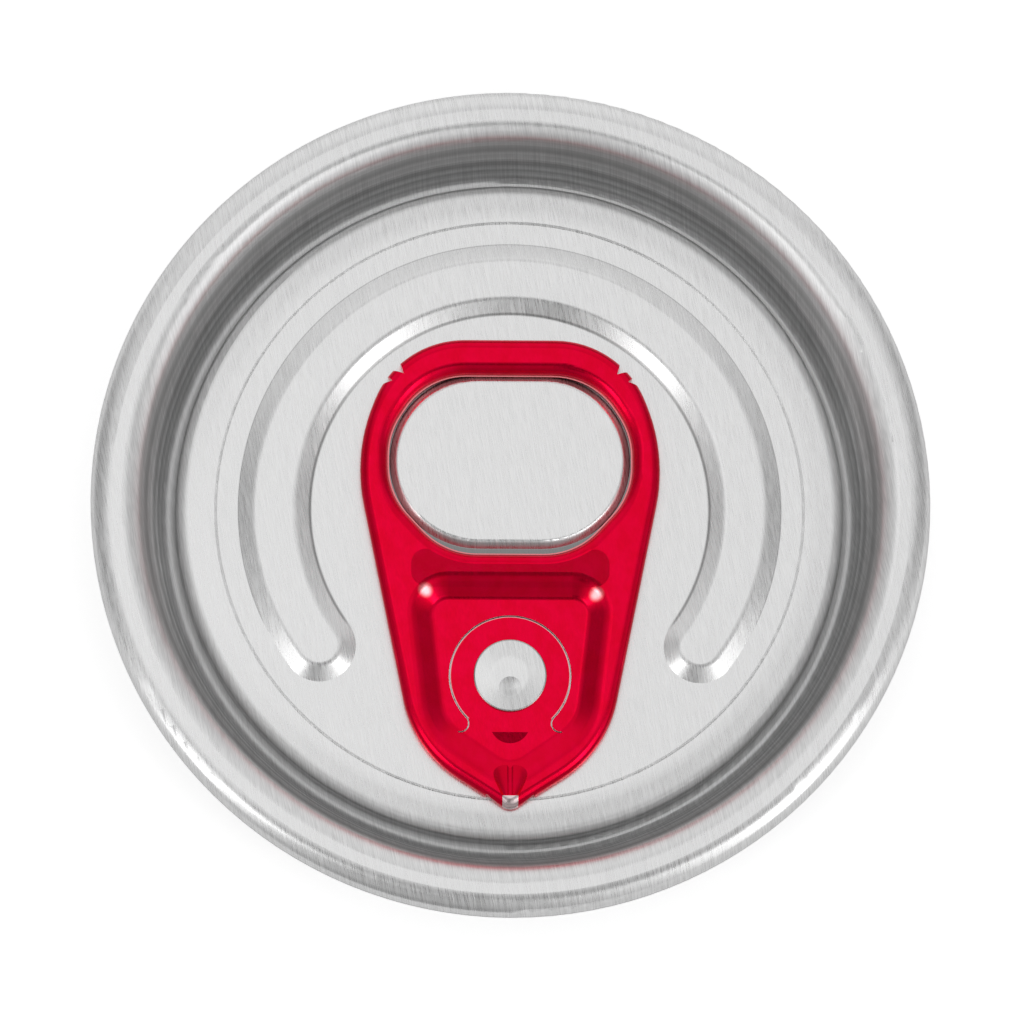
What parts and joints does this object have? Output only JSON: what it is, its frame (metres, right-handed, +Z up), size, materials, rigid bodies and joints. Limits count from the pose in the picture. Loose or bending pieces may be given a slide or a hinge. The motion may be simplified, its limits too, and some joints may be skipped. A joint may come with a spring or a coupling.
{
  "type": "full aperture can end",
  "caption": "Round aluminium can end with a curled rim, a scored full-width panel with a horseshoe bead, and a riveted red ring-pull tab.",
  "frame": {"origin": "on the end's axis, in the plane of the lowest point, the bottom of the countersink", "axes": "+Z up, out of the outer face; the tab's nose points to -Y and its ring to +Y"},
  "size_m": [0.0594, 0.0594, 0.0069],
  "materials": {
    "bare_aluminium": "fine rolled grain, satin",
    "red_lacquer": "clear red lacquer on aluminium, glossy"
  },
  "bodies": {
    "root": {"can_end": "bare_aluminium", "tab": "red_lacquer"}
  },
  "joints": []
}
